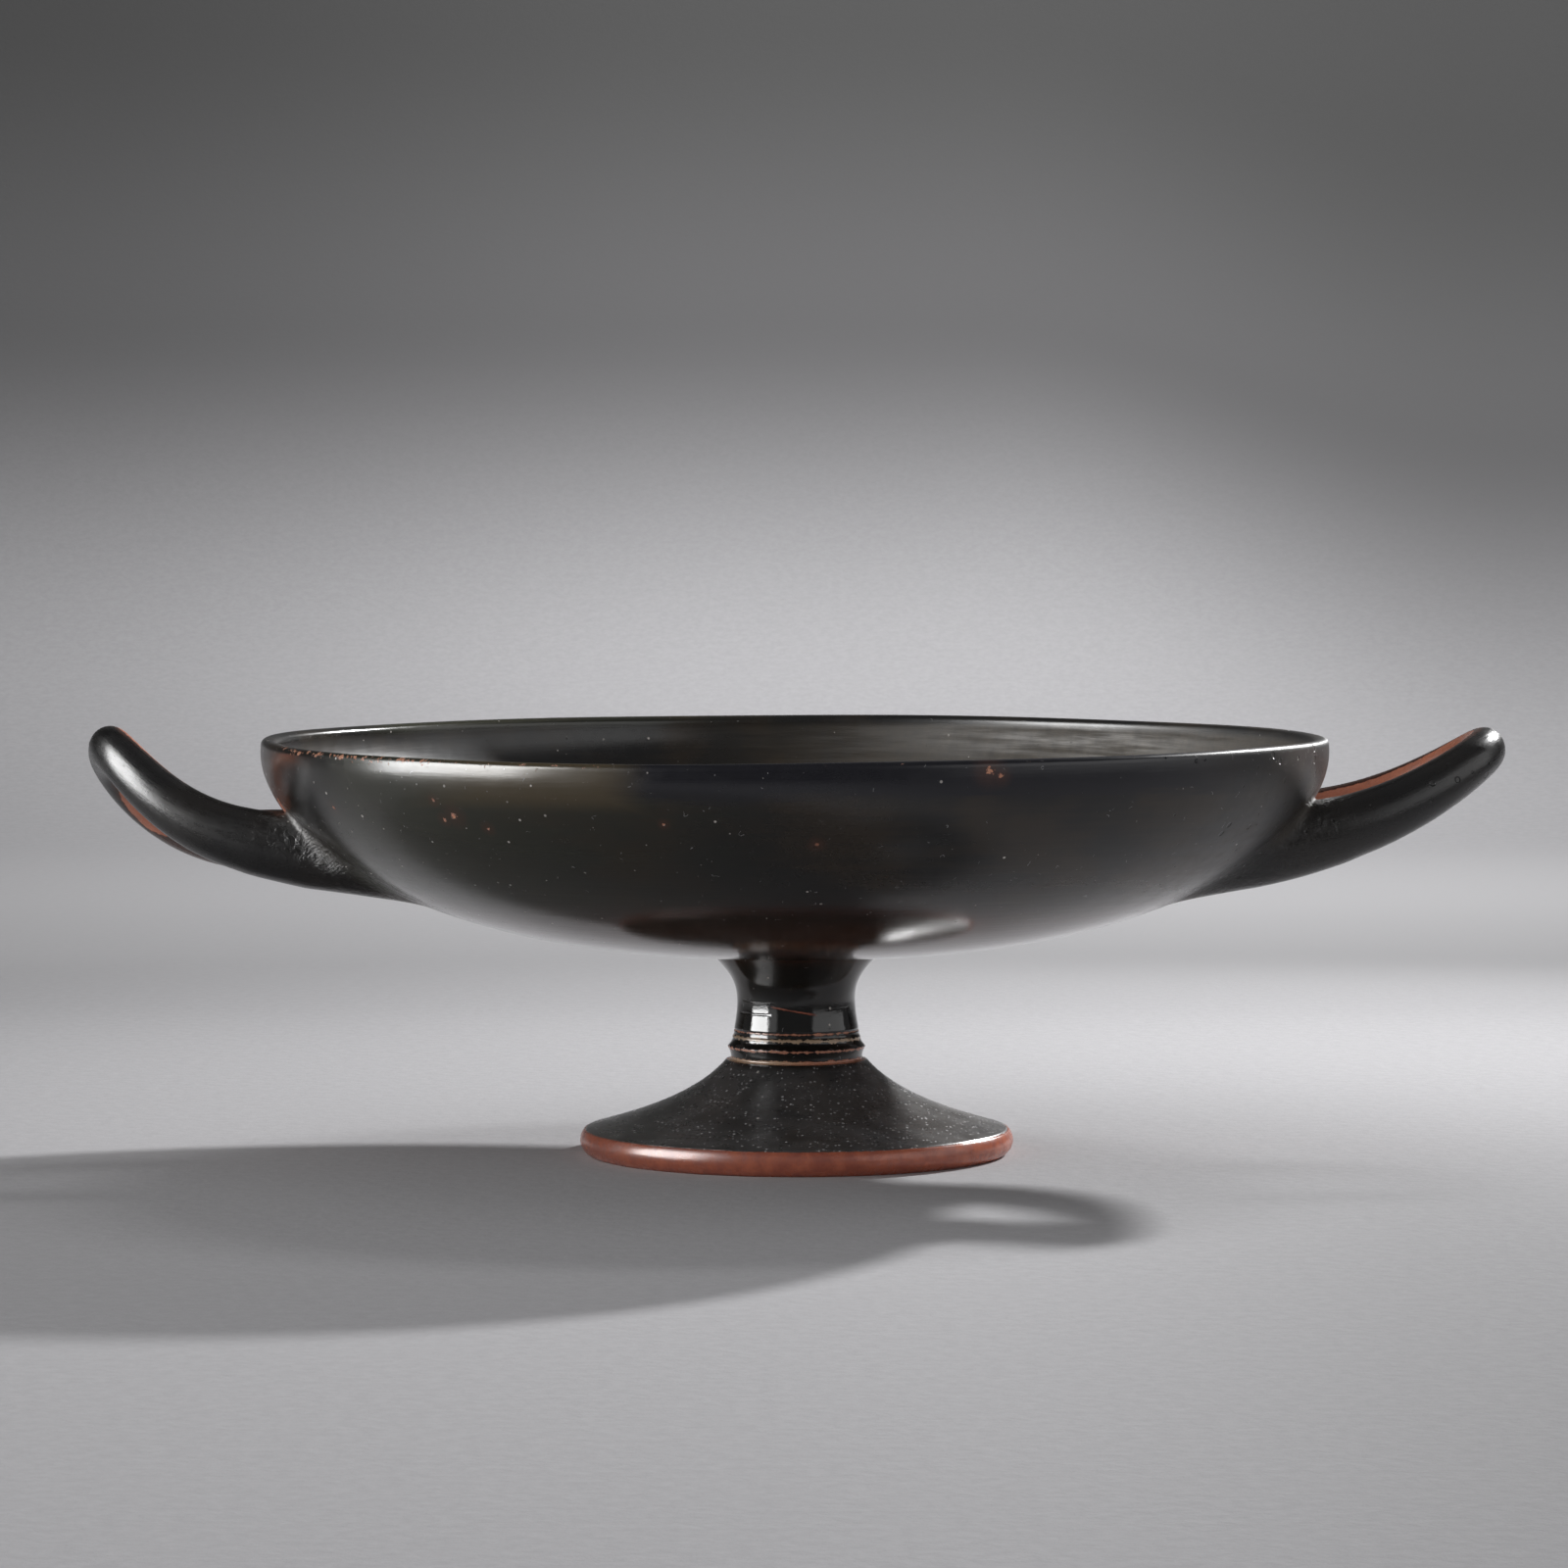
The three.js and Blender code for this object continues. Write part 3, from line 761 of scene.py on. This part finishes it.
def surface_of_the_cup():
    """Black gloss with its wear over red clay, as one material, with some sheen, bounce light and
    reflection painted into its colour.
    """
    g = Graph("black_gloss_on_red_clay")
    place = g.place()
    x, y, z = g.split(place)
    radial = g.math("SQRT", g.plus(g.times(x, x), g.times(y, y)))
    across, along = g.math("DIVIDE", x, radial), g.math("DIVIDE", y, radial)
    turn = g.times(g.math("ARCTAN2", y, x), math.degrees(1))
    arc, bare = g.attribute("arc"), g.attribute("bare")
    arm, seam = g.attribute("arm"), g.attribute("seam")
    stroke = g.split(g.attribute("stroke", vector=True))
    off_arm = g.minus(1.0, arm)

    def turned(round_scale, arc_scale):
        """Coordinates in which a noise is drawn out along the turning of the wheel."""
        return g.vector(
            g.times(across, round_scale), g.times(along, round_scale), g.times(arc, arc_scale),
        )

    def between(value, start, full, falling, end):
        """0 outside start and end, and 1 from full to falling."""
        return g.least(g.rise(value, start, full), g.rise(value, end, falling))

    cloud = g.noise(place, 0.055, 3.0)
    mottle = g.noise(place, 0.35, 4.0, 0.6)
    ragged = g.centred(g.noise(place, 0.8, 4.0, 0.65))
    frayed = g.centred(g.noise(place, 2.6, 3.0, 0.6))
    streak = g.noise(turned(4.0, 0.7), 1.0, 4.0, 0.6)
    fine_streak = g.noise(turned(14.0, 3.4), 1.0, 3.0, 0.65)
    combed = g.vector(g.times(stroke[0], 1.4), g.times(stroke[1], 1.4), g.times(stroke[2], 0.16))
    brush = g.noise(combed, 1.0, 4.0, 0.6)
    inside = g.rise(arc, arc_span("lip")[1] - 0.5, arc_span("lip")[1] + 1.0)
    not_inside = g.minus(1.0, inside)
    outside = g.times(not_inside, off_arm)

    # Bare clay: the foot's edge and sole, the handles' inner faces, lines at the mouldings
    foot_line = arc_span("step")[0] + 0.1
    notch = g.times(g.rise(turn, -107.6, -107.0, 0.0, 0.3), g.rise(turn, -30.0, -60.0))
    foot_edge_arc = g.plus(arc, g.plus(g.times(ragged, 0.5), notch))
    foot_clay = g.rise(foot_edge_arc, foot_line + 0.06, foot_line - 0.06)
    cone = arc_at_radius("hollow", GLOSSED_CONE_RADIUS)
    foot_clay = g.times(foot_clay, g.rise(g.plus(arc, ragged), cone - 0.15, cone + 0.15))
    left_back_arm = g.least(
        g.rise(x, -121.0, -112.0, 0.0, 3.5),
        g.rise(x, -60.0, -90.0, 0.0, 3.5),
    )
    left_back_arm = g.times(g.rise(y, 0.0, 10.0), left_back_arm)
    slipped = g.plus(g.rise(x, 0.0, 50.0, 0.0, 1.1), left_back_arm)
    inner_face = g.rise(g.minus(g.plus(bare, g.times(ragged, 1.3)), slipped), -0.12, 0.12)
    inner_face = g.times(inner_face, g.rise(seam, 0.2, 0.8))

    def line(middle, half, fray, soft=0.08):
        """A ragged line round the cup at a place on the outline."""
        width = g.plus(half, g.times(ragged, fray))
        return g.rise(g.minus(g.far(arc, middle), width), soft, -soft)

    low, high = arc_span("neck")
    neck_line = line((low + high) / 2 + 0.05, half=0.60, fray=1.1)
    ring_line = line(arc_span("ring")[1] - 0.12, half=0.20, fray=1.4)
    slant = g.math("COSINE", g.times(g.minus(turn, TAN_LINE_TURN), math.radians(1)))
    tan_middle = g.plus(arc_at_height("collar", COLLAR[1]), g.times(slant, 0.22))
    tan_line = line(tan_middle, half=0.30, fray=1.6)
    crease_line = line(arc_span("collar")[1] - 0.25, half=0.16, fray=1.2)
    spiral = g.plus(SPIRAL_HEIGHT, g.times(g.minus(turn, SPIRAL_TURN), SPIRAL_CLIMB))
    spiral_line = g.rise(g.minus(g.far(z, spiral), g.plus(0.14, g.times(ragged, 0.4))), 0.07, -0.07)
    spiral_line = g.least(spiral_line, between(turn, *SPIRAL_ENDS))
    spiral_line = g.times(spiral_line, g.rise(radial, 14.0, 13.0))

    # Worn lip: the slip has come off its outer edge, most of all at the front left
    lip_edge = arc_span("lip")[0] + 0.75
    wear = 0.0
    for *zone, more in WORN_LIP:
        wear = g.plus(wear, g.times(between(turn, *zone), more))
    chipping = g.noise(place, 0.75, 5.0, 0.72)
    off_edge = g.far(arc, lip_edge)
    lip_wear = g.rise(g.plus(g.minus(chipping, g.times(off_edge, 0.10)), wear), 0.66, 0.69)
    lip_wear = g.times(lip_wear, g.rise(off_edge, 3.0, 2.0))

    # Chips, and the clay that shows in the crease above the left handle
    chips, scorch = 0.0, 0.0
    for cx, cz, size, fire in CHIPS:
        away = g.plus(g.away(place, on_front(cx, cz)), g.times(frayed, 2.2 * size))
        chips = g.most(chips, g.times(g.rise(away, 0.75 * size, 0.5 * size), fire))
        scorch = g.most(scorch, g.times(g.rise(away, 4.5 * size, 0.8 * size), 0.35))
    left_crease = g.plus(g.away(place, LEFT_CREASE), g.times(ragged, 4.0))
    crease_clay = g.times(g.rise(seam, 4.4, 3.4), g.rise(left_crease, 8.0, 6.5))
    crease_clay = g.times(crease_clay, not_inside)
    pale = g.most(lip_wear, crease_clay, chips)
    clay = g.most(foot_clay, inner_face, neck_line, ring_line, spiral_line, pale, crease_line)

    # Colour of the gloss: olive, brown and blue-black clouds, thin where it was brushed out, with a
    # painted sheen, painted bounce light and a painted reflection of the foot
    browned = g.rise(g.plus(cloud, g.times(streak, 0.35)), 0.55, 0.85)
    gloss = g.mix(g.times(browned, g.rise(arm, 0.0, 1.0, 1.0, 0.25)), BLACK, BROWN_BLACK)
    tan_neck = g.times(neck_line, g.rise(g.plus(turn, g.times(ragged, 60.0)), -70.0, -110.0))
    # Olive tint on the outside, stronger to the left, and partly a painted sheen of the light from
    # the left
    olive_tint_and_sheen = g.rise(g.plus(g.times(g.plus(cloud, streak), 40.0), x), 50.0, -45.0)
    gloss = g.mix(g.times(olive_tint_and_sheen, g.times(outside, g.rise(x, -86.0, -74.0))), gloss, OLIVE)
    # Painted bounce light: a brown tint inside the bowl, stronger to the right, for light thrown
    # from the lit inner walls
    painted_bounce_inside = g.times(inside, g.rise(x, -35.0, 60.0))
    gloss = g.mix(g.times(painted_bounce_inside, 0.9), gloss, g.mix(mottle, OLIVE_BROWN, BROWN_BLACK))
    under_rim = g.rise(g.plus(z, g.times(g.centred(streak), 8.0)), 68.5, 71.5)
    blue = g.least(under_rim, between(turn, -112.0, -104.0, -50.0, -25.0), outside)
    gloss = g.mix(blue, gloss, BLUE_BLACK)
    brown = g.least(g.rise(z, 66.5, 70.0), between(turn, -136.0, -122.0, -110.0, -104.0), outside)
    gloss = g.mix(g.times(brown, 0.6), gloss, OLIVE_BROWN)
    # A painted reflection of the red foot on the bowl's underside, just above the stem
    gloss = g.mix(g.least(g.rise(z, 51.0, 44.0), g.rise(z, 34.0, 38.0), outside), gloss, PAINTED_FOOT_REFLECTION)
    panel = g.least(
        g.rise(g.math("ABSOLUTE", y), 26.0, 14.0),
        g.rise(g.plus(z, g.times(cloud, 10.0)), 80.0, 67.0),
        g.rise(z, 58.0, 62.0),
        outside,
    )
    thin = g.times(panel, g.rise(mottle, 0.2, 0.8, 0.35, 1.0))
    thin = g.times(thin, g.rise(x, 30.0, -30.0, 0.45, 1.0))
    bleed = g.rise(g.plus(bare, g.times(ragged, 2.0)), -1.4, 0.0)
    thin = g.most(thin, g.times(bleed, 0.6), scorch)
    gloss = g.mix(thin, gloss, THIN_SLIP)
    fired = g.mix(g.rise(mottle, 0.25, 0.75), CLAY, CLAY_DARK)
    lines = g.most(neck_line, ring_line, crease_line)
    lighter = g.most(g.times(pale, 0.85), g.times(lines, 0.55), g.times(inner_face, 0.3))
    fired = g.mix(lighter, fired, CLAY_PALE)
    colour = g.mix(clay, gloss, fired)
    colour = g.mix(g.times(g.most(tan_line, tan_neck), 0.9), colour, TAN)

    # Pale specks: thick on the foot like fine dust, single ones on the bowl; the dust film on the
    # foot's right is also painted light
    def specks(cell, size, few_large=True):
        """Dots in cells of this many mm, their size a share of the cell."""
        made = g.tree.nodes.new("ShaderNodeTexVoronoi")
        made.inputs["Scale"].default_value = 1 / cell
        g.feed(made.inputs["Vector"], place)
        lot = g.split(made.outputs["Color"])
        radius = g.times(g.times(lot[0], lot[0] if few_large else 1.0), size)
        dot = g.rise(g.minus(made.outputs["Distance"], radius), 0.03, -0.03)
        return g.times(dot, g.rise(lot[1], 0.0, 1.0, 0.4, 1.0)), lot[2]

    specks_wide, lot = specks(2.2, 0.125)
    share = g.times(off_arm, g.rise(x, 50.0, -60.0, 0.15, 1.0))
    specks_wide = g.times(specks_wide, g.rise(g.minus(share, lot), 0.0, 0.05))
    foot_top = g.least(g.rise(z, 17.5, 16.0), g.minus(1.0, foot_clay), g.rise(radial, 12.0, 14.0))
    dust_fine, lot = specks(0.72, 0.36, few_large=False)
    drift = g.noise(place, 0.13, 3.0, 0.6)
    share = g.plus(g.rise(x, -38.0, 20.0, 0.35, 0.75), g.rise(drift, 0.35, 0.65, -0.12, 0.45))
    powder = g.least(dust_fine, g.rise(g.minus(share, lot), 0.0, 0.1), foot_top)
    # Dust film on the foot's top, made thicker on the right as painted light where the key lamp
    # falls
    dust_film_and_painted_light = g.times(g.rise(drift, 0.3, 0.7, 0.07, 0.16), g.rise(x, 0.0, 34.0, 1.0, 1.7))
    dust_film_and_painted_light = g.times(foot_top, dust_film_and_painted_light)
    hair = g.rise(g.far(g.noise(place, 0.34, 2.0, 0.5), 0.5), 0.007, 0.002)
    hair = g.least(hair, g.rise(g.noise(place, 0.5, 2.0), 0.66, 0.69), outside)
    not_clay = g.minus(1.0, clay)
    pale_marks = g.most(powder, dust_film_and_painted_light, g.times(hair, 0.6))
    colour = g.mix(g.times(pale_marks, not_clay), colour, DUST)
    colour = g.mix(g.times(specks_wide, not_clay), colour, SPECK)

    # Gloss: sharpest below, duller at the right and on the foot, satin on the clay
    right = g.rise(x, 52.0, 84.0)
    side = g.times(g.rise(z, 46.0, 56.0), g.rise(x, -25.0, 35.0, 0.0, 0.07))
    inside_left = g.times(inside, g.rise(x, -20.0, -70.0))
    rough = g.rise(z, 42.0, 58.0, 0.05, 0.22)
    for duller in (
        g.times(outside, side),
        g.times(g.centred(streak), 0.10),
        g.times(g.rise(mottle, 0.35, 0.75), 0.05),
        g.times(g.times(right, outside), 0.14),
        g.times(arm, g.rise(brush, 0.3, 0.7, 0.02, 0.08)),
        g.times(foot_top, 0.22),
        g.times(inside_left, 0.12),
        g.times(painted_bounce_inside, g.rise(streak, 0.35, 0.65, 0.36, 0.60)),
        g.times(g.times(g.rise(seam, 3.0, 1.0), not_inside), 0.2),
        g.times(g.most(specks_wide, powder), 0.4),
    ):
        rough = g.plus(rough, duller)
    clay_rough = g.rise(mottle, 0.3, 0.7, 0.22, 0.32)
    rough = g.node("ShaderNodeMix", {0: g.most(clay, tan_line), 2: rough, 3: clay_rough})

    # Relief in mm: streaks of the wheel, brush marks on the arms, pits, slip's edge
    grain = g.centred(g.noise(place, 5.0, 2.0))
    relief = g.times(g.centred(streak), g.times(off_arm, 0.026))
    for marks in (
        g.times(g.centred(fine_streak), g.times(off_arm, 0.012)),
        g.times(g.centred(brush), g.times(arm, 0.05)),
        g.times(frayed, g.plus(0.004, g.times(foot_top, 0.006))),
        g.times(frayed, g.times(arm, 0.02)),
        g.times(grain, g.plus(0.003, g.times(clay, 0.008))),
    ):
        relief = g.plus(relief, marks)
    relief = g.minus(relief, g.times(clay, 0.05))
    pit_cells = g.tree.nodes.new("ShaderNodeTexVoronoi")
    pit_cells.inputs["Scale"].default_value = 0.42
    g.feed(pit_cells.inputs["Vector"], place)
    pit_size = g.rise(g.split(pit_cells.outputs["Color"])[1], 0.45, 1.0, 0.0, 0.28)
    pitted = g.times(right, g.rise(g.noise(place, 0.09, 2.0), 0.32, 0.50))
    pitted = g.times(g.most(pitted, g.times(g.rise(seam, 9.0, 3.0), 0.8)), not_inside)
    pit = g.rise(g.minus(pit_cells.outputs["Distance"], g.times(pit_size, pitted)), -0.05, 0.06)
    relief = g.plus(relief, g.times(pit, 0.2))
    smear = g.noise(place, 0.5, 4.0, 0.6, 1.2)
    smeared = g.times(g.rise(seam, 11.0, 2.0), not_inside)
    relief = g.plus(relief, g.times(g.centred(smear), g.times(smeared, 0.35)))

    # Scratches where the left handle was smoothed on, and the tool's marks on the stem
    patch = g.times(g.rise(g.away(place, SCRATCHED), 9.0, 4.0), not_inside)
    down_slope = g.vector(
        g.times(g.plus(x, z), 0.25), g.times(y, 0.3), g.times(g.minus(z, g.times(x, 0.8)), 1.5),
    )
    scratch = g.noise(down_slope, 1.0, 5.0, 0.7)
    relief = g.plus(relief, g.times(g.centred(scratch), g.times(patch, 0.5)))
    for height, start, end in STEM_GROOVES:
        wander = g.plus(height, g.times(ragged, 0.5))
        groove = g.least(g.rise(g.far(z, wander), 0.28, 0.05), g.rise(radial, 14.0, 13.0))
        groove = g.least(groove, between(turn, start, start + 8, end - 8, end))
        relief = g.minus(relief, g.times(groove, 0.12))
    bump = g.node("ShaderNodeBump", {"Strength": 1.0, "Distance": MM, "Height": relief})

    g.feed(g.shader.inputs["Base Color"], colour)
    g.feed(g.shader.inputs["Roughness"], rough)
    g.feed(g.shader.inputs["Normal"], bump)
    g.shader.inputs["IOR"].default_value = GLOSS_IOR
    return g.material


# The studio, in metres. Directions are in degrees: 0 is towards the camera, 90 to the right.
AIM = Vector((0, 0, 0.04))
WORLD_LIGHT = (0.13, 0.129, 0.132, 1)
KEY_PLACE = (0.538, 0.633, 0.480)
KEY_TARGET = (-0.24, -0.43, 0)
KEY_ENERGY = 44.5
KEY_SIZE = 0.026
KEY_CONE = 72
LOBE_SPREAD = 120

# Camera, as it was fitted to the photograph
CAMERA_PLACE = (-0.001965, -1.05, 0.121)
CAMERA_DOWN = 2.912
CAMERA_LENS = 132.23
SENSOR_WIDTH = 36

# Backdrop, in millimetres like the cup
PAPER_WIDTH = 5000
PAPER_FRONT, PAPER_BEND, PAPER_TOP = -2500, 900, 2600
BEND_RADIUS = 700
FLAT_STEPS, BEND_STEPS = 12, 24

# Colours of the backdrop, in linear light: the paper's own two tones, and light and shade painted
# on it
PAPER = ((0.46, 0.455, 0.47), (0.52, 0.515, 0.53))
PAPER_PAINTED_POOL = (0.72, 0.715, 0.73)
PAPER_PAINTED_SHADE_SWEEP = (0.14, 0.139, 0.142)
PAPER_PAINTED_SHADE_WALL = (0.092, 0.092, 0.092)
PAPER_PAINTED_SHADE_SIDES = (0.02, 0.02, 0.02)


def toward(azimuth, elevation, distance):
    """A place in a direction from the cup."""
    a, e = math.radians(azimuth), math.radians(elevation)
    back = Vector((math.sin(a) * math.cos(e), -math.cos(a) * math.cos(e), math.sin(e)))
    return AIM + back * distance


def aimed(name, lamp, place, target):
    """A lamp at a place, turned to a target."""
    obj = bpy.data.objects.new(name, lamp)
    obj.location = place
    obj.rotation_euler = (Vector(target) - obj.location).to_track_quat("-Z", "Y").to_euler()
    bpy.context.scene.collection.objects.link(obj)
    return obj


def area_light(name, place, size, radiance, diffuse=True, glossy=True, target=AIM):
    """A softbox. Its radiance is what a mirror would show of it."""
    width, height = size
    lamp = bpy.data.lights.new(name, "AREA")
    lamp.shape = "RECTANGLE"
    lamp.size, lamp.size_y = width, height
    lamp.energy = radiance * math.pi * width * height
    obj = aimed(name, lamp, place, target)
    obj.visible_diffuse = diffuse
    obj.visible_glossy = glossy
    return obj


def make_backdrop():
    """Pale paper that lies flat and sweeps up behind, in one sheet, with a pool of light and shade
    painted on it.
    """
    depth = PAPER_BEND - PAPER_FRONT
    section = [(PAPER_FRONT + depth * k / FLAT_STEPS, 0) for k in range(FLAT_STEPS + 1)]
    for k in range(1, BEND_STEPS + 1):
        a = math.pi / 2 * k / BEND_STEPS
        y = PAPER_BEND + BEND_RADIUS * math.sin(a)
        section.append((y, BEND_RADIUS * (1 - math.cos(a))))
    section.append((PAPER_BEND + BEND_RADIUS, PAPER_TOP))
    points = [(side * PAPER_WIDTH / 2, y, z) for y, z in section for side in (-1, 1)]
    faces = [(2 * k, 2 * k + 1, 2 * k + 3, 2 * k + 2) for k in range(len(section) - 1)]
    paper = make_object("backdrop", points, faces)
    paper.data.shade_smooth()
    g = Graph("paper_with_painted_light")
    place = g.place()
    x, y, z = g.split(place)
    fibre = g.noise(place, 0.35, 4.0, 0.7)
    # Height for the painted shade up the sweep, reached sooner on the right
    edge = g.plus(z, g.times(g.rise(x, 80.0, 300.0), 50.0))
    light = g.mix(g.rise(fibre, 0.2, 0.8), *PAPER)
    # A painted pool of light on the paper behind the cup, brighter to the right
    behind = g.least(g.rise(y, 280.0, 450.0), g.rise(y, 1000.0, 600.0))
    light = g.mix(g.times(behind, g.rise(x, -150.0, 300.0, 0.5, 1.0)), light, PAPER_PAINTED_POOL)
    # Painted shade: the paper darkens up the sweep, and more on the wall
    middle = g.mix(g.rise(edge, 35.0, 195.0), light, PAPER_PAINTED_SHADE_SWEEP)
    paper_colour = g.mix(g.rise(edge, 195.0, 330.0), middle, PAPER_PAINTED_SHADE_WALL)
    # Painted shade: darker paper towards both sides, on the right in front of the cup, and far in
    # front
    left, right = g.rise(x, -20.0, -330.0, 0.0, 0.24), g.rise(x, 60.0, 320.0, 0.0, 0.16)
    painted_shade_front_right = g.times(g.rise(x, 10.0, 130.0, 0.0, 0.30), g.rise(y, 150.0, -150.0))
    painted_shade_far_front = g.rise(y, -430.0, -640.0, 0.0, 0.85)
    sides = g.most(left, right, painted_shade_front_right, painted_shade_far_front)
    paper_colour = g.mix(sides, paper_colour, PAPER_PAINTED_SHADE_SIDES)
    g.feed(g.shader.inputs["Base Color"], paper_colour)
    g.shader.inputs["Roughness"].default_value = 0.9
    g.shader.inputs["Specular IOR Level"].default_value = 0.2
    relief = g.times(fibre, 0.4)
    bump = g.node("ShaderNodeBump", {"Strength": 0.5, "Distance": MM, "Height": relief})
    g.feed(g.shader.inputs["Normal"], bump)
    paper.data.materials.append(g.material)


def make_lights():
    """A hard key light from behind on the right, softboxes to the sides and a dim room."""
    world = bpy.data.worlds.new("studio")
    world.use_nodes = True
    world.node_tree.nodes["Background"].inputs["Color"].default_value = WORLD_LIGHT
    bpy.context.scene.world = world
    key = bpy.data.lights.new("key", "SPOT")
    key.energy = KEY_ENERGY
    key.shadow_soft_size = KEY_SIZE
    key.spot_size = math.radians(KEY_CONE)
    key.spot_blend = 1
    aimed("key", key, KEY_PLACE, KEY_TARGET)

    # What the gloss mirrors and what lights the cup
    area_light("softbox_left", toward(-75, 17, 0.90), (0.62, 0.70), radiance=17.0, diffuse=False)
    area_light("panel_left", toward(-50, 12, 1.15), (0.5, 0.6), radiance=0.9)
    area_light("fill_left", toward(-70, 35, 1.3), (1.0, 0.8), radiance=1.0, glossy=False)
    area_light("panel_right", toward(67, 19, 1.2), (1.7, 0.75), radiance=0.95, diffuse=False)
    area_light("front", (0, -1.7, 0.9), (1.5, 1.2), radiance=0.85, glossy=False)
    area_light("top", (0, 0, 1.6), (1.2, 1.2), radiance=0.35, glossy=False)

    # Light on the paper behind the cup
    area_light(
        "behind", (0.35, 0.9, 1.25), (0.5, 0.5), radiance=12.0, glossy=False,
        target=(0.1, 1.5, 0.1),
    )
    lobe = area_light(
        "lobe", (0.1, 0.75, 1.1), (0.4, 0.3), radiance=6.0, glossy=False,
        target=(0.05, 1.35, 0.06),
    )
    lobe.data.spread = math.radians(LOBE_SPREAD)


def make_camera():
    camera = bpy.data.cameras.new("camera")
    camera.sensor_width = SENSOR_WIDTH
    camera.lens = CAMERA_LENS
    camera.clip_start, camera.clip_end = 0.05, 20
    holder = bpy.data.objects.new("camera", camera)
    holder.location = CAMERA_PLACE
    holder.rotation_euler = (math.radians(90 - CAMERA_DOWN), 0, 0)
    bpy.context.scene.collection.objects.link(holder)
    bpy.context.scene.camera = holder


cup = build_cup()
cup.data.materials.append(surface_of_the_cup())
make_backdrop()
make_lights()
make_camera()
bpy.context.scene.view_settings.view_transform = "Standard"
bpy.context.scene.cycles.use_denoising = True
